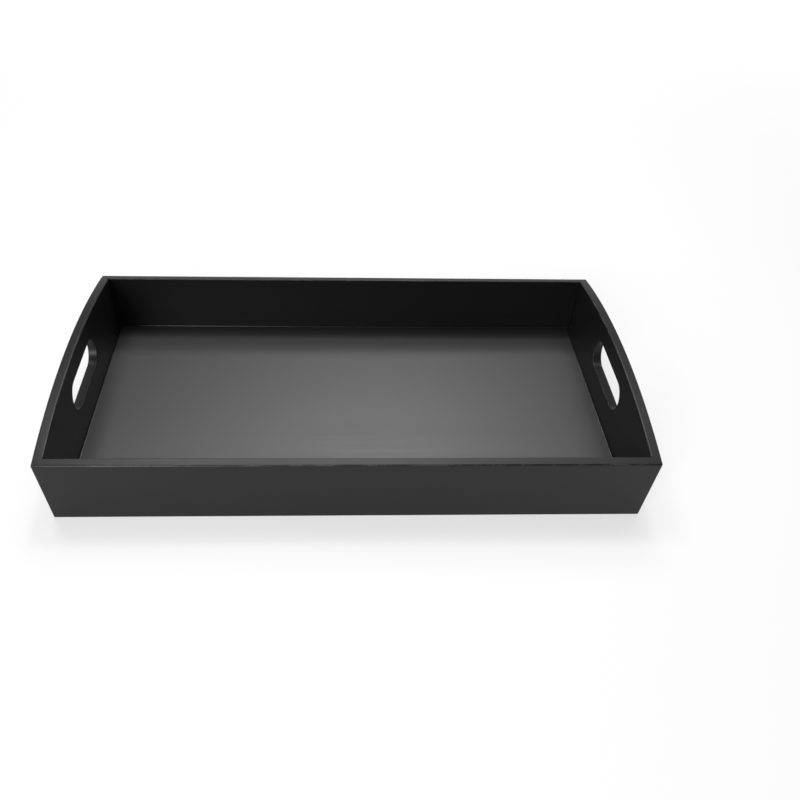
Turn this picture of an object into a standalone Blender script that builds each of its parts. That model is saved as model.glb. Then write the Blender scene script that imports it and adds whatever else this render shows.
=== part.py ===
"""Bamboo serving tray: two arched end boards with hand slots, two straight side boards, an inset
bottom panel held in grooves, and hidden dowels in the four corners.

Metres, +Z up. The origin is the middle of the underside. X runs from end board to end board, and Y
from the front board to the back board.
"""

import math

import bmesh
import bpy
from mathutils import Matrix, Vector

# Overall sizes of the tray
tray_length = 0.600
tray_depth = 0.311
rim_height = 0.0783
arch_rise = 0.0172

# Boards and bottom panel
end_board_thickness = 0.010
side_board_thickness = 0.009
panel_thickness = 0.004
panel_recess = 0.0045
panel_edge_easing = 0.0005
groove_depth = 0.004
arris_radius = 0.0015

# Hand slots
slot_length = 0.0985
slot_height = 0.0345
grip_height = 0.0216
slot_arris_radius = 0.0007

# Corner dowels
dowel_diameter = 0.005
dowel_length = 0.020
dowel_seat_depth = 0.006
dowel_end_chamfer = 0.0006
dowel_flute_depth = 0.0003
dowel_flutes = 8
dowel_height_shares = {"lower": 0.32, "upper": 0.76}

# Clearances
glue_gap = 0.0003
cut_overrun = 0.005
weld_distance = 0.000001

# Facets
arch_steps = 24
arch_end_steps = 3
slot_end_steps = 24
arris_steps = 4
hole_steps = 24
steps_per_flute = 4
sharp_angle = math.radians(60)
smooth_angle = math.radians(35)

# Worked out from the sizes above
half_length = tray_length / 2
half_depth = tray_depth / 2
inner_half_length = half_length - end_board_thickness
inner_half_depth = half_depth - side_board_thickness
floor_height = panel_recess + panel_thickness
side_board_length = 2 * (inner_half_length - glue_gap)
panel_half_length = inner_half_length + groove_depth
panel_half_depth = inner_half_depth + groove_depth
eased_half_depth = inner_half_depth - arris_radius
arch_radius = (half_depth ** 2 + arch_rise ** 2) / (2 * arch_rise)
arch_centre_height = rim_height + arch_rise - arch_radius
shoulder_height = arch_centre_height + math.sqrt(arch_radius ** 2 - inner_half_depth ** 2)
slot_end_radius = slot_height / 2
slot_top = rim_height + arch_rise - grip_height
slot_middle_height = slot_top - slot_end_radius
groove_bottom = panel_recess - glue_gap
groove_top = floor_height + glue_gap
groove_cut_depth = groove_depth + glue_gap
dowel_radius = dowel_diameter / 2
dowel_hole_radius = dowel_radius + glue_gap
dowel_line = half_depth - side_board_thickness / 2

# Colours are linear red, green, blue and alpha
lacquer_colour = (0.018, 0.018, 0.019, 1.0)
panel_colour = (0.022, 0.022, 0.023, 1.0)
dowel_colour = (0.58, 0.40, 0.20, 1.0)


def clear_scene():
    """Removes whatever the scene holds."""
    for found in list(bpy.data.objects):
        bpy.data.objects.remove(found)


def make_material(name, colour, roughness):
    """A plain non-metal finish."""
    finish = bpy.data.materials.new(name)
    finish.use_nodes = True
    shader = finish.node_tree.nodes["Principled BSDF"]
    shader.inputs["Base Color"].default_value = colour
    shader.inputs["Roughness"].default_value = roughness
    shader.inputs["Metallic"].default_value = 0.0
    return finish


def add_object(name, shape, parent, place=(0.0, 0.0, 0.0), turn=0.0):
    """Makes an object from a bmesh, and stands it at a place, turned about the upright axis."""
    mesh = bpy.data.meshes.new(name)
    bmesh.ops.recalc_face_normals(shape, faces=shape.faces[:])
    shape.to_mesh(mesh)
    shape.free()
    made = bpy.data.objects.new(name, mesh)
    bpy.context.scene.collection.objects.link(made)
    made.parent = parent
    made.location = place
    made.rotation_euler = (0.0, 0.0, turn)
    return made


def finish_piece(piece, finish):
    """Gives a piece its finish, and smooth shading with its arrises kept."""
    piece.data.materials.append(finish)
    piece.data.shade_smooth()
    piece.data.set_sharp_from_angle(angle=smooth_angle)


def block(low, high):
    """A bmesh box between two corners."""
    shape = bmesh.new()
    bmesh.ops.create_cube(shape, size=1.0)
    sides = [top - bottom for bottom, top in zip(low, high)]
    middle = [(top + bottom) / 2 for bottom, top in zip(low, high)]
    bmesh.ops.scale(shape, vec=sides, verts=shape.verts)
    bmesh.ops.translate(shape, vec=middle, verts=shape.verts)
    return shape


def bored_hole(depth, y, z):
    """A bmesh cylinder that bores in along +X from x = 0, at a place on that face."""
    shape = bmesh.new()
    length = depth + cut_overrun
    bmesh.ops.create_cone(
        shape,
        cap_ends=True,
        segments=hole_steps,
        radius1=dowel_hole_radius,
        radius2=dowel_hole_radius,
        depth=length,
        matrix=Matrix.Translation((depth - length / 2, y, z)) @ Matrix.Rotation(math.pi / 2, 4, "Y"),
    )
    return shape


def cut(piece, name, shape, place=(0.0, 0.0, 0.0), turn=0.0):
    """Cuts a bmesh shape out of a piece, and keeps the cutter as the piece's hidden child."""
    cutter = add_object(f"{piece.name}_{name}_cutter", shape, piece, place, turn)
    cutter.hide_render = True
    cutter.display_type = "WIRE"
    boolean = piece.modifiers.new(name, "BOOLEAN")
    boolean.operation = "DIFFERENCE"
    boolean.solver = "EXACT"
    boolean.object = cutter


def ease(shape, edges, radius, steps=arris_steps):
    """Rounds the given arrises of a bmesh."""
    bmesh.ops.bevel(
        shape,
        geom=edges,
        offset=radius,
        offset_type="OFFSET",
        segments=steps,
        profile=0.5,
        affect="EDGES",
    )


def dowel_heights():
    """The name and height of each dowel in a corner."""
    return {name: share * rim_height for name, share in dowel_height_shares.items()}


def arch_line(start, end, steps):
    """Points (y, z) along the arch between two places across the tray."""
    first = math.asin(start / arch_radius)
    last = math.asin(end / arch_radius)
    angles = [first + (last - first) * step / steps for step in range(steps + 1)]
    return [(arch_radius * math.sin(a), arch_centre_height + arch_radius * math.cos(a)) for a in angles]


def slot_line():
    """Points (y, z) of the slot's back half, from the middle of its lower edge to that of its top."""
    centre = slot_length / 2 - slot_end_radius
    angles = [math.pi * (step / slot_end_steps - 0.5) for step in range(slot_end_steps + 1)]
    end = [
        (centre + slot_end_radius * math.cos(a), slot_middle_height + slot_end_radius * math.sin(a))
        for a in angles
    ]
    return [(0.0, slot_middle_height - slot_end_radius), *end, (0.0, slot_top)]


def end_board_shape():
    """The arched and slotted board, with its inner face at x = 0 and its arrises rounded."""
    middle = [*arch_line(0.0, eased_half_depth, arch_steps), (eased_half_depth, 0.0), (0.0, 0.0)]
    outer_strip = [
        *arch_line(eased_half_depth, half_depth, arch_end_steps),
        (half_depth, 0.0),
        (eased_half_depth, 0.0),
    ]
    shape = bmesh.new()
    for outline in (middle + slot_line(), outer_strip):
        shape.faces.new([shape.verts.new((0.0, y, z)) for y, z in outline])
    bmesh.ops.mirror(shape, geom=shape.faces[:] + shape.edges[:] + shape.verts[:], axis="Y")
    bmesh.ops.remove_doubles(shape, verts=shape.verts[:], dist=weld_distance)
    grown = bmesh.ops.extrude_face_region(shape, geom=shape.faces[:])
    moved = [item for item in grown["geom"] if isinstance(item, bmesh.types.BMVert)]
    bmesh.ops.translate(shape, vec=(end_board_thickness, 0.0, 0.0), verts=moved)
    bmesh.ops.recalc_face_normals(shape, faces=shape.faces[:])

    arrises = [edge for edge in shape.edges if edge.calc_face_angle() > sharp_angle]
    slot_arrises = [edge for edge in arrises if in_slot(edge)]
    outline_arrises = [edge for edge in arrises if not in_slot(edge) and not in_corner_joint(edge)]
    ease(shape, outline_arrises, arris_radius)
    ease(shape, slot_arrises, slot_arris_radius)
    return shape


def in_slot(edge):
    """Whether an edge of the end board lies on its hand slot."""
    reach = slot_length / 2 + weld_distance
    height = slot_end_radius + weld_distance
    return all(
        abs(point.co.y) < reach and abs(point.co.z - slot_middle_height) < height for point in edge.verts
    )


def in_corner_joint(edge):
    """Whether an edge lies on the end board's inner face where a side board meets it."""
    on_inner_face = all(point.co.x < weld_distance for point in edge.verts)
    return on_inner_face and any(abs(point.co.y) > eased_half_depth + weld_distance for point in edge.verts)


def make_end_board(name, side, finish, tray):
    """An end board with its groove and dowel holes. side is 1 on the right and -1 on the left."""
    turn = 0.0 if side > 0 else math.pi
    board = add_object(name, end_board_shape(), tray, (side * inner_half_length, 0.0, 0.0), turn)
    finish_piece(board, finish)
    groove_half_depth = panel_half_depth + glue_gap
    groove = block(
        (-cut_overrun, -groove_half_depth, groove_bottom),
        (groove_cut_depth, groove_half_depth, groove_top),
    )
    cut(board, "groove", groove)
    for y_side, corner in ((-1, "front"), (1, "back")):
        for level, height in dowel_heights().items():
            hole = bored_hole(dowel_seat_depth + glue_gap, side * y_side * dowel_line, height)
            cut(board, f"{corner}_{level}_hole", hole)


def make_side_board(name, side, finish, tray):
    """A straight side board, flush with the end boards outside and on top. side is -1 at the front."""
    low = Vector((-side_board_length / 2, 0.0, 0.0))
    high = Vector((side_board_length / 2, side_board_thickness, rim_height))
    shape = block(low, high)
    for point in shape.verts:
        if point.co.z > low.z and point.co.y < high.y:
            point.co.z = shoulder_height
    long_edges = [edge for edge in shape.edges if abs(edge.verts[0].co.x - edge.verts[1].co.x) > weld_distance]
    ease(shape, long_edges, arris_radius)
    turn = 0.0 if side > 0 else math.pi
    board = add_object(name, shape, tray, (0.0, side * inner_half_depth, 0.0), turn)
    finish_piece(board, finish)
    groove = block(
        (low.x - cut_overrun, -cut_overrun, groove_bottom),
        (high.x + cut_overrun, groove_cut_depth, groove_top),
    )
    cut(board, "groove", groove)
    hole_depth = dowel_length - dowel_seat_depth
    for x_side, end in ((-1, "left"), (1, "right")):
        own_side = side * x_side
        mouth = (own_side * side_board_length / 2, side_board_thickness / 2, 0.0)
        inwards = 0.0 if own_side < 0 else math.pi
        for level, height in dowel_heights().items():
            cut(board, f"{end}_{level}_hole", bored_hole(hole_depth, 0.0, height), mouth, inwards)


def make_panel(finish, tray):
    """The bottom panel, whose edges stand in the grooves of all four boards."""
    shape = block(
        (-panel_half_length, -panel_half_depth, panel_recess),
        (panel_half_length, panel_half_depth, floor_height),
    )
    ease(shape, shape.edges[:], panel_edge_easing, steps=1)
    panel = add_object("bottom_panel", shape, tray)
    finish_piece(panel, finish)


def dowel_ring(shape, x, inset):
    """One ring of points round a fluted dowel, drawn in by inset."""
    count = dowel_flutes * steps_per_flute
    ring = []
    for step in range(count):
        angle = 2 * math.pi * step / count
        flute = dowel_flute_depth * (1 - math.cos(dowel_flutes * angle)) / 2
        radius = dowel_radius - flute - inset
        ring.append(shape.verts.new((x, radius * math.cos(angle), radius * math.sin(angle))))
    return ring


def dowel_shape():
    """A fluted dowel with chamfered ends, lying along X round its middle."""
    end = dowel_length / 2
    shoulder = end - dowel_end_chamfer
    stations = ((-end, dowel_end_chamfer), (-shoulder, 0.0), (shoulder, 0.0), (end, dowel_end_chamfer))
    shape = bmesh.new()
    rings = [dowel_ring(shape, x, inset) for x, inset in stations]
    for ring, following in zip(rings, rings[1:]):
        for step in range(len(ring)):
            after = (step + 1) % len(ring)
            shape.faces.new((ring[step], ring[after], following[after], following[step]))
    shape.faces.new(rings[0])
    shape.faces.new(rings[-1])
    return shape


def make_dowels(finish, tray):
    """The dowels, two in each corner, seated in the end board and running into the side board's end."""
    middle = inner_half_length + dowel_seat_depth - dowel_length / 2
    for x_side, end in ((-1, "left"), (1, "right")):
        for y_side, corner in ((-1, "front"), (1, "back")):
            for level, height in dowel_heights().items():
                place = (x_side * middle, y_side * dowel_line, height)
                dowel = add_object(f"dowel_{corner}_{end}_{level}", dowel_shape(), tray, place)
                finish_piece(dowel, finish)


def make_tray():
    """The whole tray, under one empty at its origin."""
    tray = bpy.data.objects.new("tray", None)
    bpy.context.scene.collection.objects.link(tray)
    end_finish = make_material("end_board_black_lacquer", lacquer_colour, 0.38)
    side_finish = make_material("side_board_black_lacquer", lacquer_colour, 0.38)
    panel_finish = make_material("bottom_panel_black_lacquer", panel_colour, 0.32)
    dowel_finish = make_material("plain_bamboo_dowel", dowel_colour, 0.6)
    make_end_board("left_end_board", -1, end_finish, tray)
    make_end_board("right_end_board", 1, end_finish, tray)
    make_side_board("front_side_board", -1, side_finish, tray)
    make_side_board("back_side_board", 1, side_finish, tray)
    make_panel(panel_finish, tray)
    make_dowels(dowel_finish, tray)


clear_scene()
make_tray()
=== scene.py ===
import logging
import math
import random
from dataclasses import dataclass, field
from enum import Enum

import bmesh
import bpy
from mathutils import Matrix, Vector


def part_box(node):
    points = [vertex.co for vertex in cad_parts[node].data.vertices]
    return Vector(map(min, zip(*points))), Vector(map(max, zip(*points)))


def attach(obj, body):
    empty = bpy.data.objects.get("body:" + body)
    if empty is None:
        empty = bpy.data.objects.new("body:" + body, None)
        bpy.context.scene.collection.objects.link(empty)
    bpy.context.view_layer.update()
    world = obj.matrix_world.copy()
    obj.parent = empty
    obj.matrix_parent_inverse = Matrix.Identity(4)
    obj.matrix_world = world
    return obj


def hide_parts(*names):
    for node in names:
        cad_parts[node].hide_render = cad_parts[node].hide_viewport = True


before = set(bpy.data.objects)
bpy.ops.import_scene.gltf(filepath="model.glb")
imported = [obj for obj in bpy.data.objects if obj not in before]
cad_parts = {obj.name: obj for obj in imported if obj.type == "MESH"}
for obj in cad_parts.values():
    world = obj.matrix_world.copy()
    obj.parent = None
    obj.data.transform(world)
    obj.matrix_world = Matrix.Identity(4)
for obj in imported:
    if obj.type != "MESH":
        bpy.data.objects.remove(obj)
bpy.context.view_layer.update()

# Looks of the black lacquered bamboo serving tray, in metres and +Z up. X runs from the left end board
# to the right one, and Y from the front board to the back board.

log = logging.getLogger("tray")

Point2 = tuple[float, float]
Point3 = tuple[float, float, float]
Value = float | tuple | bpy.types.NodeSocket

BODY = "root"
MICROMETRE = 0.000001
WELD_DISTANCE = 0.000001
SHARP_ANGLE = math.radians(60)
SMOOTH_ANGLE = math.radians(35)
FLAT_FACE_WEIGHT = 100


class End(Enum):
    """Which end of the tray a board closes, by its sign along X."""

    LEFT = -1
    RIGHT = 1

    @property
    def word(self) -> str:
        """The end's name in lower case."""
        return self.name.lower()


class Side(Enum):
    """Which long side of the tray a board closes, by its sign along Y."""

    FRONT = -1
    BACK = 1

    @property
    def word(self) -> str:
        """The side's name in lower case."""
        return self.name.lower()


class Grain(Enum):
    """How a board's bamboo lies: the axes along the fibres, across the strips and through them."""

    SIDE_BOARD = ("X", "Z", "Y")
    END_BOARD = ("Y", "Z", "X")
    PANEL = ("X", "Y", "Z")


class NodeBench:
    """Adds nodes to one node tree and joins them."""

    def __init__(self, tree: bpy.types.NodeTree) -> None:
        """Takes the tree to work in.

        Args:
            tree: the node tree of a material, world or group.
        """
        self.tree = tree

    def add(self, kind: str, **settings: object) -> bpy.types.Node:
        """Adds a node.

        Args:
            kind: the node's type name.
            settings: properties of the node, by name.

        Returns:
            The new node.
        """
        node = self.tree.nodes.new(kind)
        for name, value in settings.items():
            setattr(node, name, value)
        return node

    def feed(self, socket: bpy.types.NodeSocket, value: Value) -> None:
        """Links a socket to another, or sets its plain value.

        Args:
            socket: the input to feed.
            value: an output socket, a number or a tuple of numbers.
        """
        if isinstance(value, bpy.types.NodeSocket):
            self.tree.links.new(value, socket)
        else:
            socket.default_value = value

    def maths(self, operation: str, *values: Value, clamp: bool = False) -> bpy.types.NodeSocket:
        """Adds a Math node.

        Args:
            operation: the sum that it does, such as "ADD".
            values: its inputs in order.
            clamp: whether the result is kept from 0 to 1.

        Returns:
            Its result.
        """
        node = self.add("ShaderNodeMath", operation=operation, use_clamp=clamp)
        for socket, value in zip(node.inputs, values):
            self.feed(socket, value)
        return node.outputs[0]

    def weighted_sum(self, *terms: tuple[Value, Value]) -> bpy.types.NodeSocket:
        """Adds up values, each times its weight.

        Args:
            terms: pairs of a value and its weight.

        Returns:
            The sum.
        """
        total = self.maths("MULTIPLY", *terms[0])
        for value, weight in terms[1:]:
            total = self.maths("MULTIPLY_ADD", value, weight, total)
        return total

    def fade(self, value: Value, start: Value, end: Value) -> bpy.types.NodeSocket:
        """A smooth step.

        Args:
            value: what is measured.
            start: where the result is 0.
            end: where the result is 1.

        Returns:
            A value from 0 to 1.
        """
        node = self.add("ShaderNodeMapRange", interpolation_type="SMOOTHSTEP")
        for name, given in (("Value", value), ("From Min", start), ("From Max", end)):
            self.feed(node.inputs[name], given)
        return node.outputs["Result"]

    def swing(self, value: Value) -> bpy.types.NodeSocket:
        """How far a value from 0 to 1 lies above its middle."""
        return self.maths("SUBTRACT", value, 0.5)

    def noise(
        self, vector: Value, scale: float, detail: float = 2.0, w: Value | None = None
    ) -> bpy.types.NodeSocket:
        """Adds a Noise Texture.

        Args:
            vector: the place that it is read at, in metres.
            scale: how many waves it has in a metre.
            detail: how many finer waves are laid over them.
            w: a fourth coordinate, where it has one.

        Returns:
            Its value, from 0 to 1.
        """
        node = self.add("ShaderNodeTexNoise", noise_dimensions="3D" if w is None else "4D")
        self.feed(node.inputs["Vector"], vector)
        if w is not None:
            self.feed(node.inputs["W"], w)
        node.inputs["Scale"].default_value = scale
        node.inputs["Detail"].default_value = detail
        return node.outputs["Fac"]

    def chance(self, value: Value) -> bpy.types.NodeSocket:
        """A random value from 0 to 1 for each whole number given.

        Args:
            value: the number.

        Returns:
            The random value.
        """
        node = self.add("ShaderNodeTexWhiteNoise", noise_dimensions="1D")
        self.feed(node.inputs["W"], value)
        return node.outputs["Value"]

    def split(self, vector: Value) -> tuple[bpy.types.NodeSocket, ...]:
        """The three parts of a vector.

        Args:
            vector: the vector.

        Returns:
            Its x, y and z.
        """
        node = self.add("ShaderNodeSeparateXYZ")
        self.feed(node.inputs[0], vector)
        return tuple(node.outputs)

    def join(self, x: Value, y: Value, z: Value) -> bpy.types.NodeSocket:
        """A vector from its three parts.

        Args:
            x: its first part.
            y: its second part.
            z: its third part.

        Returns:
            The vector.
        """
        node = self.add("ShaderNodeCombineXYZ")
        for socket, value in zip(node.inputs, (x, y, z)):
            self.feed(socket, value)
        return node.outputs[0]

    def colour(self, factor: Value, low: Value, high: Value) -> bpy.types.NodeSocket:
        """Mixes two colours.

        Args:
            factor: 0 for the first and 1 for the second.
            low: the first colour, as a socket or its red, green and blue.
            high: the second colour, given in the same way.

        Returns:
            The mixed colour.
        """
        node = self.add("ShaderNodeMix", data_type="RGBA")
        colours = [socket for socket in node.inputs if socket.type == "RGBA"]
        self.feed(node.inputs["Factor"], factor)
        for socket, value in zip(colours, (low, high)):
            self.feed(socket, (*value, 1.0) if isinstance(value, tuple) else value)
        return next(socket for socket in node.outputs if socket.type == "RGBA")

    def group(self, tree: bpy.types.NodeTree, **values: Value) -> bpy.types.Node:
        """Places a node group.

        Args:
            tree: the group's own tree.
            values: its inputs by name, with an underscore for each space.

        Returns:
            The group node.
        """
        node = self.add("ShaderNodeGroup", node_tree=tree)
        for name, value in values.items():
            self.feed(node.inputs[name.replace("_", " ")], value)
        return node


class EffectGroup:
    """A shader node group with named inputs and outputs, built once and used by several finishes."""

    name = ""
    inputs: dict[str, tuple[str, float]] = {}
    outputs: tuple[str, ...] = ()

    def __init__(self) -> None:
        """Makes the group's tree and sockets, and fills it."""
        self.tree = bpy.data.node_groups.new(self.name, "ShaderNodeTree")
        for title, (kind, start) in self.inputs.items():
            socket = self.tree.interface.new_socket(title, in_out="INPUT", socket_type=kind)
            if kind == "NodeSocketFloat":
                socket.default_value = start
        for title in self.outputs:
            self.tree.interface.new_socket(title, in_out="OUTPUT", socket_type="NodeSocketFloat")
        self.bench = NodeBench(self.tree)
        self.given = self.bench.add("NodeGroupInput").outputs
        self.result = self.bench.add("NodeGroupOutput").inputs
        self.fill()

    def fill(self) -> None:
        """Adds the group's nodes. Each effect has its own."""
        raise NotImplementedError

    def give(self, title: str, value: Value) -> None:
        """Feeds one of the group's outputs."""
        self.bench.feed(self.result[title], value)


class LaminatedBamboo(EffectGroup):
    """Strips of bamboo glued side by side, with their fibres, seams and knuckles."""

    name = "laminated_bamboo"
    inputs = {
        "Vector": ("NodeSocketVector", 0.0),
        "Strip Width": ("NodeSocketFloat", 0.006),
        "Knuckle Spacing": ("NodeSocketFloat", 0.24),
    }
    outputs = ("Tone", "Fibre", "Ripple", "Seam", "Knuckle")

    seam_half_width = 0.00022
    knuckle_half_width = 0.0022
    fibre_stretch = 0.014
    fibre_waves = 1100.0
    fine_fibre_waves = 2900.0
    fine_share = 0.35
    ripple_stretch = 0.15
    ripple_waves = 200.0
    strip_seed = 31.7

    def fill(self) -> None:
        """Adds the strips, then the fibres along them, and the knuckles across them."""
        bench = self.bench
        along, across, through = bench.split(self.given["Vector"])
        place = bench.maths("DIVIDE", across, self.given["Strip Width"])
        strip = bench.maths("FLOOR", place)
        tone = bench.chance(strip)
        from_middle = bench.maths("ABSOLUTE", bench.swing(bench.maths("FRACT", place)))
        inset = bench.maths("SUBTRACT", 0.5, from_middle)
        from_seam = bench.maths("MULTIPLY", inset, self.given["Strip Width"])
        self.give("Tone", tone)
        self.give("Seam", bench.fade(from_seam, self.seam_half_width, 0.0))

        stretched = bench.join(bench.maths("MULTIPLY", along, self.fibre_stretch), across, through)
        shifted = bench.maths("MULTIPLY", tone, self.strip_seed)
        coarse = bench.noise(stretched, self.fibre_waves, detail=2.0, w=shifted)
        fine = bench.noise(stretched, self.fine_fibre_waves, detail=1.0, w=shifted)
        self.give("Fibre", bench.weighted_sum((coarse, 1 - self.fine_share), (fine, self.fine_share)))
        drawn_out = bench.join(bench.maths("MULTIPLY", along, self.ripple_stretch), across, through)
        self.give("Ripple", bench.noise(drawn_out, self.ripple_waves))

        start = bench.chance(bench.maths("ADD", strip, self.strip_seed))
        spacing = self.given["Knuckle Spacing"]
        turn = bench.maths("FRACT", bench.maths("ADD", bench.maths("DIVIDE", along, spacing), start))
        from_knuckle = bench.maths("ABSOLUTE", bench.swing(turn))
        distance = bench.maths("MULTIPLY", from_knuckle, spacing)
        self.give("Knuckle", bench.fade(distance, self.knuckle_half_width, 0.0))


class ArrisMask(EffectGroup):
    """Where a surface turns over an arris, broken up as hands and cloths rub it."""

    name = "arris_mask"
    inputs = {
        "Vector": ("NodeSocketVector", 0.0),
        "Normal": ("NodeSocketVector", 0.0),
        "Long Arrises": ("NodeSocketFloat", 1.0),
        "Rub": ("NodeSocketFloat", 0.5),
    }
    outputs = ("Arris", "Rubbed")

    first_turn = 0.25
    full_turn = 0.55
    rub_waves = 42.0
    grit_waves = 620.0
    patch_share = 0.75
    grit_share = 0.5
    rub_reach = 0.6
    fade_before = 0.12
    fade_after = 0.08

    def fill(self) -> None:
        """Finds the turned surface by its normal, and the rubbed places by noise."""
        bench = self.bench
        x, y, z = (bench.maths("ABSOLUTE", part) for part in bench.split(self.given["Normal"]))
        rest = bench.maths("SQRT", bench.maths("SUBTRACT", 1.0, bench.maths("MULTIPLY", x, x)))
        over_end = bench.maths("MINIMUM", x, rest)
        over_side = bench.maths("MULTIPLY", bench.maths("MINIMUM", y, z), self.given["Long Arrises"])
        arris = bench.fade(bench.maths("MAXIMUM", over_end, over_side), self.first_turn, self.full_turn)
        patches = bench.noise(self.given["Vector"], self.rub_waves, detail=3.0)
        grit = bench.noise(self.given["Vector"], self.grit_waves)
        worn = bench.weighted_sum((patches, self.patch_share), (grit, self.grit_share))
        reach = bench.maths("MULTIPLY", self.given["Rub"], self.rub_reach)
        limit = bench.maths("SUBTRACT", 1.0, reach)
        start = bench.maths("SUBTRACT", limit, self.fade_before)
        end = bench.maths("ADD", limit, self.fade_after)
        self.give("Arris", arris)
        self.give("Rubbed", bench.maths("MULTIPLY", arris, bench.fade(worn, start, end)))


class LacquerFilm(EffectGroup):
    """A sprayed and rubbed film over bamboo: its height in micrometres, gloss and depth of colour."""

    name = "lacquer_film"
    inputs = {
        "Vector": ("NodeSocketVector", 0.0),
        "Tone": ("NodeSocketFloat", 0.5),
        "Fibre": ("NodeSocketFloat", 0.5),
        "Ripple": ("NodeSocketFloat", 0.5),
        "Seam": ("NodeSocketFloat", 0.0),
        "Knuckle": ("NodeSocketFloat", 0.0),
        "Roughness": ("NodeSocketFloat", 0.4),
        "Grain Show": ("NodeSocketFloat", 1.0),
    }
    outputs = ("Height", "Gloss", "Depth")

    sag_waves = 14.0
    peel_waves = 330.0
    cloud_waves = 9.0
    sag_height = 14.0
    peel_height = 1.6
    fibre_height = 5.0
    ripple_height = 20.0
    seam_height = -6.0
    knuckle_height = 5.0
    tone_height = 0.8
    fibre_gloss = 0.07
    tone_gloss = 0.012
    knuckle_gloss = 0.015
    cloud_gloss = 0.03
    middle_depth = 0.5
    fibre_depth = 0.5
    tone_depth = 0.25
    cloud_depth = 0.3

    def fill(self) -> None:
        """Lays the film's own waves over what shows through from the bamboo."""
        bench = self.bench
        place = self.given["Vector"]
        sag = bench.noise(place, self.sag_waves, detail=1.0)
        peel = bench.noise(place, self.peel_waves)
        cloud = bench.swing(bench.noise(place, self.cloud_waves, detail=3.0))
        grain = bench.weighted_sum(
            (self.given["Fibre"], self.fibre_height),
            (self.given["Ripple"], self.ripple_height),
            (self.given["Seam"], self.seam_height),
            (self.given["Knuckle"], self.knuckle_height),
            (self.given["Tone"], self.tone_height),
        )
        height = bench.weighted_sum(
            (sag, self.sag_height), (peel, self.peel_height), (grain, self.given["Grain Show"])
        )
        self.give("Height", height)

        fibre = bench.swing(self.given["Fibre"])
        tone = bench.swing(self.given["Tone"])
        swing = bench.weighted_sum(
            (fibre, self.fibre_gloss),
            (tone, self.tone_gloss),
            (self.given["Knuckle"], self.knuckle_gloss),
        )
        shown = bench.maths("MULTIPLY_ADD", swing, self.given["Grain Show"], self.given["Roughness"])
        self.give("Gloss", bench.maths("MULTIPLY_ADD", cloud, self.cloud_gloss, shown))
        depth = bench.weighted_sum(
            (fibre, self.fibre_depth), (tone, self.tone_depth), (cloud, self.cloud_depth)
        )
        self.give("Depth", bench.maths("ADD", depth, self.middle_depth, clamp=True))


@dataclass(frozen=True)
class Effects:
    """The node groups that the finishes share."""

    bamboo: LaminatedBamboo = field(default_factory=LaminatedBamboo)
    arris: ArrisMask = field(default_factory=ArrisMask)
    film: LacquerFilm = field(default_factory=LacquerFilm)


def grain_vector(bench: NodeBench, grain: Grain) -> tuple[bpy.types.NodeSocket, bpy.types.NodeSocket]:
    """The place on a piece, plain and turned to its bamboo.

    Args:
        bench: the material's bench.
        grain: how the bamboo lies.

    Returns:
        The place in the tray, and the same place along, across and through the strips.
    """
    place = bench.add("ShaderNodeTexCoord").outputs["Object"]
    parts = dict(zip("XYZ", bench.split(place)))
    return place, bench.join(*(parts[axis] for axis in grain.value))


@dataclass(frozen=True)
class BlackLacquer:
    """Satin black lacquer, through which the bamboo's strips and fibres just show."""

    name: str
    grain: Grain
    roughness: float = 0.40
    index: float = 1.35
    deep_colour: Point3 = (0.0050, 0.0050, 0.0050)
    thin_colour: Point3 = (0.0080, 0.0080, 0.0080)
    rubbed_colour: Point3 = (0.040, 0.039, 0.038)
    strip_width: float = 0.0062
    knuckle_spacing: float = 0.24
    grain_show: float = 1.5
    long_arrises: float = 1.0
    rub: float = 0.5
    arris_roughness: float = -0.05

    def make(self, effects: Effects) -> bpy.types.Material:
        """Builds the material.

        Args:
            effects: the shared node groups.

        Returns:
            The material.
        """
        material = bpy.data.materials.new(self.name)
        material.use_nodes = True
        bench = NodeBench(material.node_tree)
        shader = material.node_tree.nodes["Principled BSDF"]
        place, laid = grain_vector(bench, self.grain)
        bamboo = bench.group(
            effects.bamboo.tree, Vector=laid,
            Strip_Width=self.strip_width, Knuckle_Spacing=self.knuckle_spacing,
        )
        film = bench.group(
            effects.film.tree, Vector=place, Roughness=self.roughness, Grain_Show=self.grain_show,
            **{name: bamboo.outputs[name] for name in LaminatedBamboo.outputs},
        )
        normal = bench.add("ShaderNodeNewGeometry").outputs["Normal"]
        arris = bench.group(
            effects.arris.tree, Vector=place, Normal=normal, Long_Arrises=self.long_arrises, Rub=self.rub
        )
        lacquer = bench.colour(film.outputs["Depth"], self.deep_colour, self.thin_colour)
        rubbed = bench.colour(arris.outputs["Rubbed"], lacquer, self.rubbed_colour)
        bench.feed(shader.inputs["Base Color"], rubbed)
        gloss = (arris.outputs["Arris"], self.arris_roughness, film.outputs["Gloss"])
        bench.feed(shader.inputs["Roughness"], bench.maths("MULTIPLY_ADD", *gloss))
        bump = bench.add("ShaderNodeBump")
        bench.feed(bump.inputs["Height"], film.outputs["Height"])
        bump.inputs["Distance"].default_value = MICROMETRE
        bench.feed(shader.inputs["Normal"], bump.outputs["Normal"])
        shader.inputs["IOR"].default_value = self.index
        return material


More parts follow.
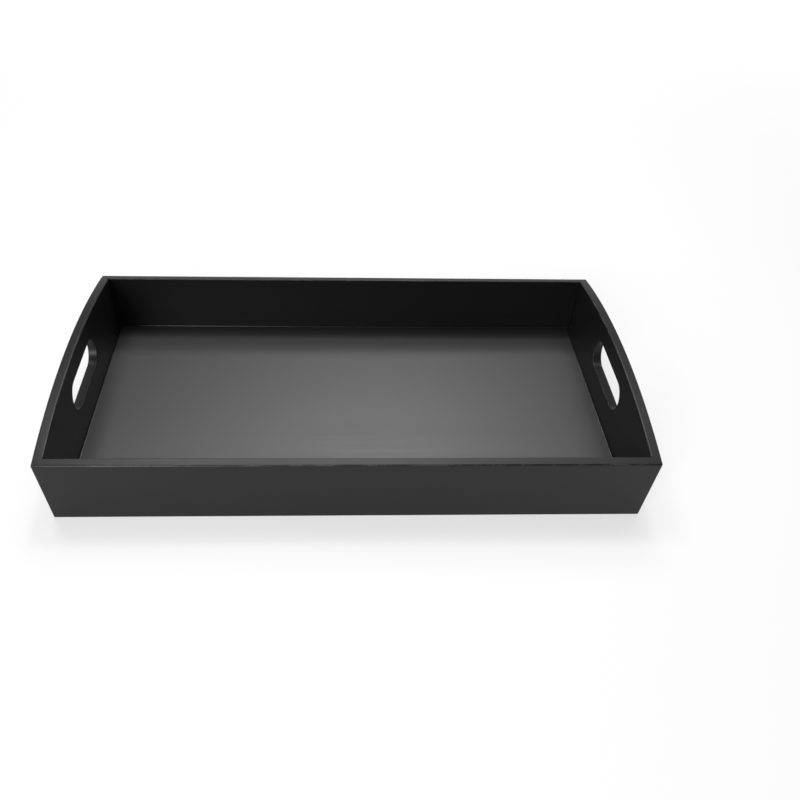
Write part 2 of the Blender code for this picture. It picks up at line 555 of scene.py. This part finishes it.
@dataclass(frozen=True)
class BareBamboo:
    """Plain bamboo with its pale fibres and darker vessels."""

    name: str = "bare_bamboo"
    pale: Point3 = (0.66, 0.47, 0.25)
    dark: Point3 = (0.40, 0.25, 0.11)
    pale_fibre: float = 0.70
    dark_fibre: float = 0.30
    roughness: float = 0.62
    roughness_swing: float = 0.3
    fibre_height: float = 30.0

    def make(self, effects: Effects) -> bpy.types.Material:
        """Builds the material.

        Args:
            effects: the shared node groups.

        Returns:
            The material.
        """
        material = bpy.data.materials.new(self.name)
        material.use_nodes = True
        bench = NodeBench(material.node_tree)
        shader = material.node_tree.nodes["Principled BSDF"]
        laid = grain_vector(bench, Grain.PANEL)[1]
        bamboo = bench.group(effects.bamboo.tree, Vector=laid)
        fibre = bamboo.outputs["Fibre"]
        contrast = bench.fade(fibre, self.pale_fibre, self.dark_fibre)
        bench.feed(shader.inputs["Base Color"], bench.colour(contrast, self.pale, self.dark))
        rough = bench.maths("MULTIPLY_ADD", bench.swing(fibre), self.roughness_swing, self.roughness)
        bench.feed(shader.inputs["Roughness"], rough)
        bump = bench.add("ShaderNodeBump")
        bench.feed(bump.inputs["Height"], fibre)
        bump.inputs["Distance"].default_value = self.fibre_height * MICROMETRE
        bench.feed(shader.inputs["Normal"], bump.outputs["Normal"])
        return material


@dataclass(frozen=True)
class StudioPaper:
    """Pale studio floor that stands as white in the picture and keeps the tray's shadow."""

    name: str = "studio_paper"
    colour: Point3 = (0.30, 0.30, 0.30)
    lift: float = 0.60
    far_lift: float = 0.96
    lift_start: float = 0.7
    lift_end: float = 2.6
    mottle_waves: float = 3.0
    mottle_shade: float = 0.985

    def make(self) -> bpy.types.Material:
        """Builds the material.

        Returns:
            The material.
        """
        material = bpy.data.materials.new(self.name)
        material.use_nodes = True
        bench = NodeBench(material.node_tree)
        material.node_tree.nodes.remove(material.node_tree.nodes["Principled BSDF"])
        output = material.node_tree.nodes["Material Output"]
        paper = bench.add("ShaderNodeBsdfDiffuse")
        place = bench.add("ShaderNodeTexCoord").outputs["Object"]
        mottle = bench.noise(place, self.mottle_waves)
        shade = tuple(part * self.mottle_shade for part in self.colour)
        bench.feed(paper.inputs["Color"], bench.colour(mottle, shade, self.colour))
        reach = bench.add("ShaderNodeVectorMath", operation="LENGTH")
        bench.feed(reach.inputs[0], place)
        far = bench.fade(reach.outputs["Value"], self.lift_start, self.lift_end)
        strength = bench.maths("MULTIPLY_ADD", far, self.far_lift - self.lift, self.lift)
        glow = bench.add("ShaderNodeEmission")
        bench.feed(glow.inputs["Strength"], bench.maths("MULTIPLY", strength, seen_rays(bench)))
        both = bench.add("ShaderNodeAddShader")
        bench.feed(both.inputs[0], paper.outputs[0])
        bench.feed(both.inputs[1], glow.outputs[0])
        bench.feed(output.inputs["Surface"], both.outputs[0])
        return material


def seen_rays(bench: NodeBench) -> bpy.types.NodeSocket:
    """1 for rays that carry the background to the eye, straight or by way of gloss or glass.

    Args:
        bench: the material's or world's bench.

    Returns:
        1 for camera, glossy and transmission rays, and 0 for the others.
    """
    path = bench.add("ShaderNodeLightPath")
    shown = bench.maths("MAXIMUM", path.outputs["Is Camera Ray"], path.outputs["Is Glossy Ray"])
    return bench.maths("MAXIMUM", shown, path.outputs["Is Transmission Ray"])


def add_piece(name: str, shape: bmesh.types.BMesh) -> bpy.types.Object:
    """Makes a piece from a bmesh whose points are in the tray's own place.

    Args:
        name: the piece's name.
        shape: its bmesh, which is freed.

    Returns:
        The piece.
    """
    mesh = bpy.data.meshes.new(name)
    bmesh.ops.recalc_face_normals(shape, faces=shape.faces[:])
    shape.to_mesh(mesh)
    shape.free()
    piece = bpy.data.objects.new(name, mesh)
    bpy.context.scene.collection.objects.link(piece)
    return piece


def carve(piece: bpy.types.Object, cutters: list[bmesh.types.BMesh]) -> None:
    """Cuts shapes out of a piece for good.

    Args:
        piece: the piece to cut.
        cutters: the shapes, which are freed.
    """
    made = [add_piece(f"{piece.name}_cutter_{number}", shape) for number, shape in enumerate(cutters)]
    for cutter in made:
        boolean = piece.modifiers.new(cutter.name, "BOOLEAN")
        boolean.operation = "DIFFERENCE"
        boolean.solver = "EXACT"
        boolean.object = cutter
    graph = bpy.context.evaluated_depsgraph_get()
    carved = bpy.data.meshes.new_from_object(piece.evaluated_get(graph))
    piece.modifiers.clear()
    piece.data = carved
    for cutter in made:
        bpy.data.objects.remove(cutter)


def smooth(piece: bpy.types.Object) -> None:
    """Shades a piece smoothly, with flat faces kept flat and cut edges kept sharp.

    Args:
        piece: the piece.
    """
    piece.data.shade_smooth()
    piece.data.set_sharp_from_angle(angle=SMOOTH_ANGLE)
    weighted = piece.modifiers.new("weighted_normals", "WEIGHTED_NORMAL")
    weighted.keep_sharp = True
    weighted.weight = FLAT_FACE_WEIGHT


def block(low: Point3, high: Point3) -> bmesh.types.BMesh:
    """A box between two corners.

    Args:
        low: its lowest corner.
        high: its highest corner.

    Returns:
        The box.
    """
    shape = bmesh.new()
    bmesh.ops.create_cube(shape, size=1.0)
    sides = [top - bottom for bottom, top in zip(low, high)]
    middle = [(top + bottom) / 2 for bottom, top in zip(low, high)]
    bmesh.ops.scale(shape, vec=sides, verts=shape.verts)
    bmesh.ops.translate(shape, vec=middle, verts=shape.verts)
    return shape


def ease(shape: bmesh.types.BMesh, edges: list[bmesh.types.BMEdge], radius: float, steps: int) -> None:
    """Rounds some arrises of a shape.

    Args:
        shape: the shape.
        edges: the arrises.
        radius: how far the rounding reaches along each face.
        steps: how many facets it has.
    """
    bmesh.ops.bevel(
        shape, geom=edges, offset=radius, offset_type="OFFSET", segments=steps, profile=0.5, affect="EDGES"
    )


@dataclass(frozen=True)
class TraySizes:
    """The tray's sizes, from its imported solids, apart from the last three, which are given.

    rim_height is that of the side boards' outer edges. Their tops slope up from there to the inside.
    """

    half_length: float
    half_depth: float
    inner_half_length: float
    inner_half_depth: float
    peak_height: float
    floor_height: float
    panel_underside: float
    panel_half_length: float
    panel_half_depth: float
    dowel_radius: float
    dowel_line: float
    dowel_heights: tuple[float, float]
    dowel_tip: float
    dowel_tail: float
    rim_height: float = 0.0783
    glue_gap: float = 0.0003
    cut_overrun: float = 0.004

    @classmethod
    def from_solids(cls) -> "TraySizes":
        """Reads the sizes.

        Returns:
            The sizes.
        """
        end_low, end_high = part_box("right_end_board")
        side_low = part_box("back_side_board")[0]
        panel_low, panel_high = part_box("bottom_panel")
        lower_low, lower_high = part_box("dowel_back_right_lower")
        upper_low, upper_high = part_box("dowel_back_right_upper")
        return cls(
            half_length=end_high.x,
            half_depth=end_high.y,
            inner_half_length=end_low.x,
            inner_half_depth=side_low.y,
            peak_height=end_high.z,
            floor_height=panel_high.z,
            panel_underside=panel_low.z,
            panel_half_length=panel_high.x,
            panel_half_depth=panel_high.y,
            dowel_radius=(lower_high.z - lower_low.z) / 2,
            dowel_line=(lower_high.y + lower_low.y) / 2,
            dowel_heights=((lower_high.z + lower_low.z) / 2, (upper_high.z + upper_low.z) / 2),
            dowel_tip=lower_high.x,
            dowel_tail=lower_low.x,
        )

    @property
    def arch_radius(self) -> float:
        """The radius of the end boards' arched top."""
        rise = self.peak_height - self.rim_height
        return (self.half_depth ** 2 + rise ** 2) / (2 * rise)

    @property
    def shoulder_height(self) -> float:
        """The height of the arch, and of the side boards' tops, over the side boards' inner faces."""
        across = math.sqrt(self.arch_radius ** 2 - self.inner_half_depth ** 2)
        return self.peak_height - self.arch_radius + across

    def groove(self, low_x: float, high_x: float, low_y: float, high_y: float) -> bmesh.types.BMesh:
        """The panel's groove between two uprights, with room for glue above and below the panel.

        Args:
            low_x: where it starts along the tray.
            high_x: where it ends.
            low_y: where it starts across the tray.
            high_y: where it ends.

        Returns:
            A box to cut away.
        """
        return block(
            (low_x, low_y, self.panel_underside - self.glue_gap),
            (high_x, high_y, self.floor_height + self.glue_gap),
        )

    def dowel_hole(self, start: float, end: float, y: float, z: float, steps: int) -> bmesh.types.BMesh:
        """A round hole along X.

        Args:
            start: its lower end along X.
            end: its upper end along X.
            y: its place across the tray.
            z: its height.
            steps: how many facets it has.

        Returns:
            A cylinder to cut away.
        """
        shape = bmesh.new()
        radius = self.dowel_radius + self.glue_gap
        bmesh.ops.create_cone(
            shape, cap_ends=True, segments=steps, radius1=radius, radius2=radius, depth=end - start,
            matrix=Matrix.Translation(((start + end) / 2, y, z)) @ Matrix.Rotation(math.pi / 2, 4, "Y"),
        )
        return shape


@dataclass
class EndBoard:
    """An arched end board with its hand slot, eased arrises, panel groove and dowel holes."""

    sizes: TraySizes
    end: End
    slot_length: float = 0.0985
    slot_height: float = 0.0345
    grip_height: float = 0.0216
    arris_radius: float = 0.0015
    slot_arris_radius: float = 0.0007
    arch_steps: int = 64
    arch_end_steps: int = 9
    slot_end_steps: int = 48
    arris_steps: int = 7
    hole_steps: int = 32

    @property
    def name(self) -> str:
        """The board's name."""
        return f"{self.end.word}_end_board_lacquered"

    @property
    def slot_radius(self) -> float:
        """The radius of the slot's round ends."""
        return self.slot_height / 2

    @property
    def slot_middle(self) -> float:
        """The height of the slot's middle."""
        return self.sizes.peak_height - self.grip_height - self.slot_radius

    def arch_points(self, start: float, end: float, steps: int) -> list[Point2]:
        """Points along the arch.

        Args:
            start: the first point's place across the tray.
            end: the last point's.
            steps: how many steps lie between them.

        Returns:
            The points' places across the tray and heights.
        """
        radius = self.sizes.arch_radius
        centre = self.sizes.peak_height - radius
        first, last = math.asin(start / radius), math.asin(end / radius)
        angles = [first + (last - first) * step / steps for step in range(steps + 1)]
        return [(radius * math.sin(angle), centre + radius * math.cos(angle)) for angle in angles]

    def slot_points(self) -> list[Point2]:
        """Points along the slot's back half.

        Returns:
            The points from the middle of its lower edge to that of its upper one.
        """
        radius, middle = self.slot_radius, self.slot_middle
        centre = self.slot_length / 2 - radius
        angles = [math.pi * (step / self.slot_end_steps - 0.5) for step in range(self.slot_end_steps + 1)]
        curve = [(centre + radius * math.cos(angle), middle + radius * math.sin(angle)) for angle in angles]
        return [(0.0, middle - radius), *curve, (0.0, middle + radius)]

    def in_slot(self, edge: bmesh.types.BMEdge) -> bool:
        """Whether an edge lies on the slot."""
        reach, height = self.slot_length / 2 + WELD_DISTANCE, self.slot_radius + WELD_DISTANCE
        return all(abs(p.co.y) < reach and abs(p.co.z - self.slot_middle) < height for p in edge.verts)

    def in_joint(self, edge: bmesh.types.BMEdge) -> bool:
        """Whether an edge of the inner face lies where a side board meets it.

        Args:
            edge: an edge of the board.

        Returns:
            True where it does.
        """
        on_face = all(abs(point.co.x) < WELD_DISTANCE for point in edge.verts)
        limit = self.sizes.inner_half_depth - self.arris_radius + WELD_DISTANCE
        return on_face and any(abs(point.co.y) > limit for point in edge.verts)

    def shape(self) -> bmesh.types.BMesh:
        """The board with its inner face at x = 0, before it is cut.

        Returns:
            Its bmesh.
        """
        sizes = self.sizes
        eased = sizes.inner_half_depth - self.arris_radius
        top = self.arch_points(0.0, eased, self.arch_steps)
        middle = [*top, (eased, 0.0), (0.0, 0.0), *self.slot_points()]
        end_top = self.arch_points(eased, sizes.half_depth, self.arch_end_steps)
        strip = [*end_top, (sizes.half_depth, 0.0), (eased, 0.0)]
        shape = bmesh.new()
        for outline in (middle, strip):
            shape.faces.new([shape.verts.new((0.0, y, z)) for y, z in outline])
        bmesh.ops.mirror(shape, geom=shape.faces[:] + shape.edges[:] + shape.verts[:], axis="Y")
        bmesh.ops.remove_doubles(shape, verts=shape.verts[:], dist=WELD_DISTANCE)
        grown = bmesh.ops.extrude_face_region(shape, geom=shape.faces[:])
        moved = [item for item in grown["geom"] if isinstance(item, bmesh.types.BMVert)]
        thickness = sizes.half_length - sizes.inner_half_length
        bmesh.ops.translate(shape, vec=(thickness, 0.0, 0.0), verts=moved)
        bmesh.ops.recalc_face_normals(shape, faces=shape.faces[:])
        arrises = [edge for edge in shape.edges if edge.calc_face_angle() > SHARP_ANGLE]
        slot_arrises = [edge for edge in arrises if self.in_slot(edge)]
        outline = [edge for edge in arrises if not self.in_slot(edge) and not self.in_joint(edge)]
        ease(shape, outline, self.arris_radius, self.arris_steps)
        ease(shape, slot_arrises, self.slot_arris_radius, self.arris_steps)
        return shape

    def build(self) -> bpy.types.Object:
        """Makes the board in its place.

        Returns:
            The board.
        """
        sizes = self.sizes
        shape = self.shape()
        turn = Matrix.Rotation(0.0 if self.end is End.RIGHT else math.pi, 4, "Z")
        shift = Matrix.Translation((self.end.value * sizes.inner_half_length, 0.0, 0.0))
        bmesh.ops.transform(shape, matrix=shift @ turn, verts=shape.verts)
        board = add_piece(self.name, shape)

        def span(near: float, far: float) -> Point2:
            """Two places along X in rising order, from how far they lie from the middle."""
            return tuple(sorted((self.end.value * near, self.end.value * far)))

        inner = sizes.inner_half_length
        groove_depth = sizes.panel_half_length + sizes.glue_gap
        groove_half = sizes.panel_half_depth + sizes.glue_gap
        cutters = [sizes.groove(*span(inner - sizes.cut_overrun, groove_depth), -groove_half, groove_half)]
        reach = span(inner - sizes.cut_overrun, sizes.dowel_tip + sizes.glue_gap)
        for side in Side:
            line = side.value * sizes.dowel_line
            for height in sizes.dowel_heights:
                cutters.append(sizes.dowel_hole(*reach, line, height, self.hole_steps))
        carve(board, cutters)
        smooth(board)
        return board


@dataclass
class SideBoard:
    """A straight side board with eased arrises, panel groove and dowel holes."""

    sizes: TraySizes
    side: Side
    arris_radius: float = 0.0015
    arris_steps: int = 7
    end_chamfer: float = 0.00003
    seam: float = 0.00002
    hole_steps: int = 32

    @property
    def name(self) -> str:
        """The board's name."""
        return f"{self.side.word}_side_board_lacquered"

    def build(self) -> bpy.types.Object:
        """Makes the board in its place.

        Returns:
            The board.
        """
        sizes = self.sizes
        half = sizes.inner_half_length - self.seam
        near, far = sorted((self.side.value * sizes.inner_half_depth, self.side.value * sizes.half_depth))
        shape = block((-half, near, 0.0), (half, far, sizes.rim_height))
        for point in shape.verts:
            if point.co.z > 0.0 and abs(point.co.y) < sizes.half_depth - WELD_DISTANCE:
                point.co.z = sizes.shoulder_height
        long_edges = [
            edge for edge in shape.edges
            if abs(edge.verts[0].co.x - edge.verts[1].co.x) > WELD_DISTANCE
        ]
        ease(shape, long_edges, self.arris_radius, self.arris_steps)
        end_edges = [
            edge for edge in shape.edges
            if all(abs(abs(point.co.x) - half) < WELD_DISTANCE for point in edge.verts)
        ]
        ease(shape, end_edges, self.end_chamfer, 1)
        board = add_piece(self.name, shape)

        inner = self.side.value * (sizes.inner_half_depth - sizes.cut_overrun)
        bottom = self.side.value * (sizes.panel_half_depth + sizes.glue_gap)
        reach = half + sizes.cut_overrun
        cutters = [sizes.groove(-reach, reach, *sorted((inner, bottom)))]
        for end in End:
            start, stop = sorted((end.value * (sizes.dowel_tail - sizes.glue_gap), end.value * reach))
            for height in sizes.dowel_heights:
                line = self.side.value * sizes.dowel_line
                cutters.append(sizes.dowel_hole(start, stop, line, height, self.hole_steps))
        carve(board, cutters)
        smooth(board)
        return board


@dataclass
class LacquerBead:
    """The small coves of lacquer that run where the floor meets the boards, and up the inner corners."""

    sizes: TraySizes
    floor_radius: float = 0.0011
    corner_radius: float = 0.0007
    sink: float = 0.00015
    swing_share: float = 0.12
    steps: int = 5
    run_steps: int = 60
    taper_steps: int = 4
    tip_share: float = 0.15
    wave_count: int = 3
    wave_turns: Point2 = (2.0, 9.0)
    seed: int = 11
    seed_stride: int = 3

    def cove(self, radius: float) -> list[Point2]:
        """The cove's section, as distances from the two faces that it joins.

        Args:
            radius: how far it reaches along each face.

        Returns:
            The section's points, in order round it.
        """
        angles = [math.pi / 2 * step / self.steps for step in range(self.steps + 1)]
        curve = [(radius * (1 - math.sin(angle)), radius * (1 - math.cos(angle))) for angle in angles]
        return [*curve, (-self.sink, radius), (-self.sink, -self.sink), (radius, -self.sink)]

    def swings(self, count: int, draw: random.Random) -> list[float]:
        """Slowly changing shares that vary the cove's radius along a run.

        Args:
            count: how many stations the run has.
            draw: the random numbers.

        Returns:
            One factor for each station.
        """
        waves = [
            (draw.uniform(*self.wave_turns), draw.uniform(0.0, 2 * math.pi))
            for _ in range(self.wave_count)
        ]
        values = []
        for number in range(count):
            place = number / count
            total = sum(math.sin(2 * math.pi * round(turns) * place + phase) for turns, phase in waves)
            values.append(1 + self.swing_share * total / len(waves))
        return values

    def loft(self, rings: list[list[Point3]], closed: bool) -> bmesh.types.BMesh:
        """Joins rings of points with faces.

        Args:
            rings: the rings, each with as many points.
            closed: whether the last ring joins the first.

        Returns:
            The closed shape.
        """
        shape = bmesh.new()
        made = [[shape.verts.new(point) for point in ring] for ring in rings]
        following = made[1:] + made[:1] if closed else made[1:]
        for ring, after in zip(made, following):
            for step in range(len(ring)):
                ahead = (step + 1) % len(ring)
                shape.faces.new((ring[step], ring[ahead], after[ahead], after[step]))
        if not closed:
            shape.faces.new(made[0])
            shape.faces.new(made[-1])
        return shape

    def floor_ring(self) -> bpy.types.Object:
        """The bead round the floor, mitred at the corners.

        Returns:
            The bead.
        """
        sizes = self.sizes
        corners = [(-1, -1), (1, -1), (1, 1), (-1, 1)]
        stations: list[tuple[float, float, float, float]] = []
        for (x0, y0), (x1, y1) in zip(corners, corners[1:] + corners[:1]):
            for step in range(self.run_steps):
                share = step / self.run_steps
                pull_x = x0 if x0 == x1 else (x0 if step == 0 else 0)
                pull_y = y0 if y0 == y1 else (y0 if step == 0 else 0)
                stations.append((x0 + (x1 - x0) * share, y0 + (y1 - y0) * share, pull_x, pull_y))
        factors = self.swings(len(stations), random.Random(self.seed))
        rings = []
        for (x, y, pull_x, pull_y), factor in zip(stations, factors):
            ring = []
            for out, up in self.cove(self.floor_radius * factor):
                along = x * sizes.inner_half_length - pull_x * out
                across = y * sizes.inner_half_depth - pull_y * out
                ring.append((along, across, sizes.floor_height + up))
            rings.append(ring)
        bead = add_piece("floor_lacquer_bead", self.loft(rings, closed=True))
        smooth(bead)
        return bead

    def corner_bead(self, end: End, side: Side) -> bpy.types.Object:
        """The bead up one inner corner.

        Args:
            end: the end board that it lies against.
            side: the side board that it lies against.

        Returns:
            The bead.
        """
        sizes = self.sizes
        low = sizes.floor_height
        high = sizes.rim_height - 2 * self.corner_radius
        seed = self.seed + self.seed_stride * end.value + side.value
        factors = self.swings(self.run_steps, random.Random(seed))
        rings = []
        for step in range(self.run_steps + 1):
            share = step / self.run_steps
            taper = min(1.0, (1 - share) * self.run_steps / self.taper_steps + self.tip_share)
            ring = []
            for out_x, out_y in self.cove(self.corner_radius * taper * factors[step % self.run_steps]):
                x = end.value * (sizes.inner_half_length - out_x)
                y = side.value * (sizes.inner_half_depth - out_y)
                ring.append((x, y, low + (high - low) * share))
            rings.append(ring)
        bead = add_piece(f"corner_lacquer_bead_{side.word}_{end.word}", self.loft(rings, closed=False))
        smooth(bead)
        return bead

    def build(self) -> list[bpy.types.Object]:
        """Makes all the beads.

        Returns:
            The floor bead and the four corner beads.
        """
        return [self.floor_ring(), *(self.corner_bead(end, side) for end in End for side in Side)]


@dataclass(frozen=True)
class Viewpoint:
    """The camera's place and turn, and its lens."""

    place: Point3 = (-0.017386, -0.602721, 0.587516)
    heading: float = 0.059295
    dip: float = 0.827930
    roll: float = 0.041715
    lens: float = 32.2139
    sensor: float = 36.0
    shift: Point2 = (0.046875, 0.063125)

    def matrix(self) -> Matrix:
        """The camera's matrix.

        Returns:
            Its place and turn as one matrix.
        """
        ahead = Vector((
            math.sin(self.heading) * math.cos(self.dip),
            math.cos(self.heading) * math.cos(self.dip),
            -math.sin(self.dip),
        ))
        right = Vector((math.cos(self.heading), -math.sin(self.heading), 0.0))
        above = right.cross(ahead)
        across = math.cos(self.roll) * right + math.sin(self.roll) * above
        up = math.cos(self.roll) * above - math.sin(self.roll) * right
        turn = Matrix((across, up, -ahead)).transposed().to_4x4()
        return Matrix.Translation(self.place) @ turn

    def build(self) -> None:
        """Makes the scene's camera."""
        data = bpy.data.cameras.new("camera")
        data.sensor_width = self.sensor
        data.lens = self.lens
        data.shift_x, data.shift_y = self.shift
        camera = bpy.data.objects.new("camera", data)
        bpy.context.scene.collection.objects.link(camera)
        camera.matrix_world = self.matrix()
        bpy.context.scene.camera = camera


@dataclass(frozen=True)
class Softbox:
    """A soft lamp that hangs round the tray and faces its middle."""

    name: str
    bearing: float
    elevation: float
    distance: float
    width: float
    height: float
    radiance: float

    def build(self) -> None:
        """Hangs the lamp."""
        data = bpy.data.lights.new(self.name, "AREA")
        data.shape = "RECTANGLE"
        data.size, data.size_y = self.width, self.height
        data.energy = self.radiance * math.pi * self.width * self.height
        lamp = bpy.data.objects.new(self.name, data)
        bpy.context.scene.collection.objects.link(lamp)
        bearing, elevation = math.radians(self.bearing), math.radians(self.elevation)
        out = Vector((
            math.sin(bearing) * math.cos(elevation),
            math.cos(bearing) * math.cos(elevation),
            math.sin(elevation),
        ))
        lamp.location = out * self.distance
        lamp.rotation_euler = (-out).to_track_quat("-Z", "Y").to_euler()


@dataclass(frozen=True)
class Studio:
    """The floor, the lamps and the plain pale room."""

    floor_half_width: float = 12.0
    ambient: float = 0.12
    ceiling: float = 0.18
    wall_height: float = 0.03
    ceiling_height: float = 0.45
    lamps: tuple[Softbox, ...] = (
        Softbox("key_far_left", -18.0, 50.0, 2.0, 0.27, 0.245, 6.1),
        Softbox("key_left", -6.0, 57.0, 2.0, 0.23, 0.245, 10.5),
        Softbox("key_low", 5.0, 51.0, 2.0, 0.27, 0.245, 19.0),
        Softbox("key_middle", 6.0, 57.0, 2.0, 0.23, 0.245, 8.5),
        Softbox("key_right", 20.0, 52.0, 2.0, 0.27, 0.245, 14.0),
        Softbox("key_high", 10.0, 70.0, 2.0, 0.24, 0.245, 46.0),
        Softbox("top_fill", 0.0, 85.0, 2.0, 0.90, 0.70, 3.2),
        Softbox("high_left_softbox", -48.0, 66.0, 2.0, 0.50, 0.50, 15.6),
        Softbox("right_fill", 45.0, 62.0, 2.0, 0.90, 0.70, 4.0),
        Softbox("front_left_softbox", -155.0, 28.0, 2.0, 1.00, 0.70, 12.5),
    )

    def room(self) -> None:
        """Makes the world: plain ambient light, and where it is seen, white walls under a dim ceiling."""
        world = bpy.data.worlds.new("studio_room")
        world.use_nodes = True
        bpy.context.scene.world = world
        bench = NodeBench(world.node_tree)
        background = world.node_tree.nodes["Background"]
        height = bench.split(bench.add("ShaderNodeTexCoord").outputs["Generated"])[2]
        wall = bench.fade(height, self.ceiling_height, self.wall_height)
        shown = bench.maths("MULTIPLY_ADD", wall, 1.0 - self.ceiling, self.ceiling)
        seen = seen_rays(bench)
        unseen = bench.maths("SUBTRACT", 1.0, seen)
        background.inputs["Color"].default_value = (1.0, 1.0, 1.0, 1.0)
        bench.feed(background.inputs["Strength"], bench.weighted_sum((seen, shown), (unseen, self.ambient)))

    def floor(self) -> None:
        """Makes the floor that the tray stands on."""
        shape = bmesh.new()
        bmesh.ops.create_grid(shape, x_segments=1, y_segments=1, size=self.floor_half_width)
        floor = add_piece("studio_floor", shape)
        floor.data.materials.append(StudioPaper().make())

    def build(self) -> None:
        """Sets the whole studio up."""
        self.room()
        self.floor()
        for lamp in self.lamps:
            lamp.build()
        bpy.context.scene.view_settings.view_transform = "Standard"


def dress(piece: bpy.types.Object, material: bpy.types.Material) -> None:
    """Gives a new piece its finish and fixes it to the tray.

    Args:
        piece: the piece.
        material: its finish.
    """
    piece.data.materials.clear()
    piece.data.materials.append(material)
    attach(piece, BODY)
    log.info("%s: %d faces", piece.name, len(piece.data.polygons))


def dress_node(name: str, material: bpy.types.Material) -> None:
    """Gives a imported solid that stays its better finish.

    Args:
        name: the solid's name.
        material: its finish.
    """
    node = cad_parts[name]
    for slot in node.material_slots:
        slot.material = material
    log.info("%s: kept, %s", name, material.name)


def main() -> None:
    """Builds the tray's pieces in order, then the studio."""
    logging.basicConfig(level=logging.INFO, format="%(name)s: %(message)s")
    sizes = TraySizes.from_solids()
    effects = Effects()
    end_lacquer = BlackLacquer("end_board_satin_lacquer", Grain.END_BOARD, long_arrises=0.0).make(effects)
    side_lacquer = BlackLacquer("side_board_satin_lacquer", Grain.SIDE_BOARD).make(effects)
    panel_lacquer = BlackLacquer(
        "panel_satin_lacquer", Grain.PANEL, roughness=0.48, index=1.64, grain_show=2.4
    ).make(effects)
    bead_lacquer = BlackLacquer(
        "bead_lacquer", Grain.PANEL, roughness=0.26, grain_show=0.0, rub=0.0
    ).make(effects)

    for end in End:
        board = EndBoard(sizes, end).build()
        dress(board, end_lacquer)
        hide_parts(f"{end.word}_end_board")
    for side in Side:
        board = SideBoard(sizes, side).build()
        dress(board, side_lacquer)
        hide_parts(f"{side.word}_side_board")
    for bead in LacquerBead(sizes).build():
        dress(bead, bead_lacquer)
    dress_node("bottom_panel", panel_lacquer)
    bamboo = BareBamboo().make(effects)
    for name in sorted(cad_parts):
        if name.startswith("dowel_"):
            dress_node(name, bamboo)

    Viewpoint().build()
    Studio().build()


if __name__ == "__main__":
    main()
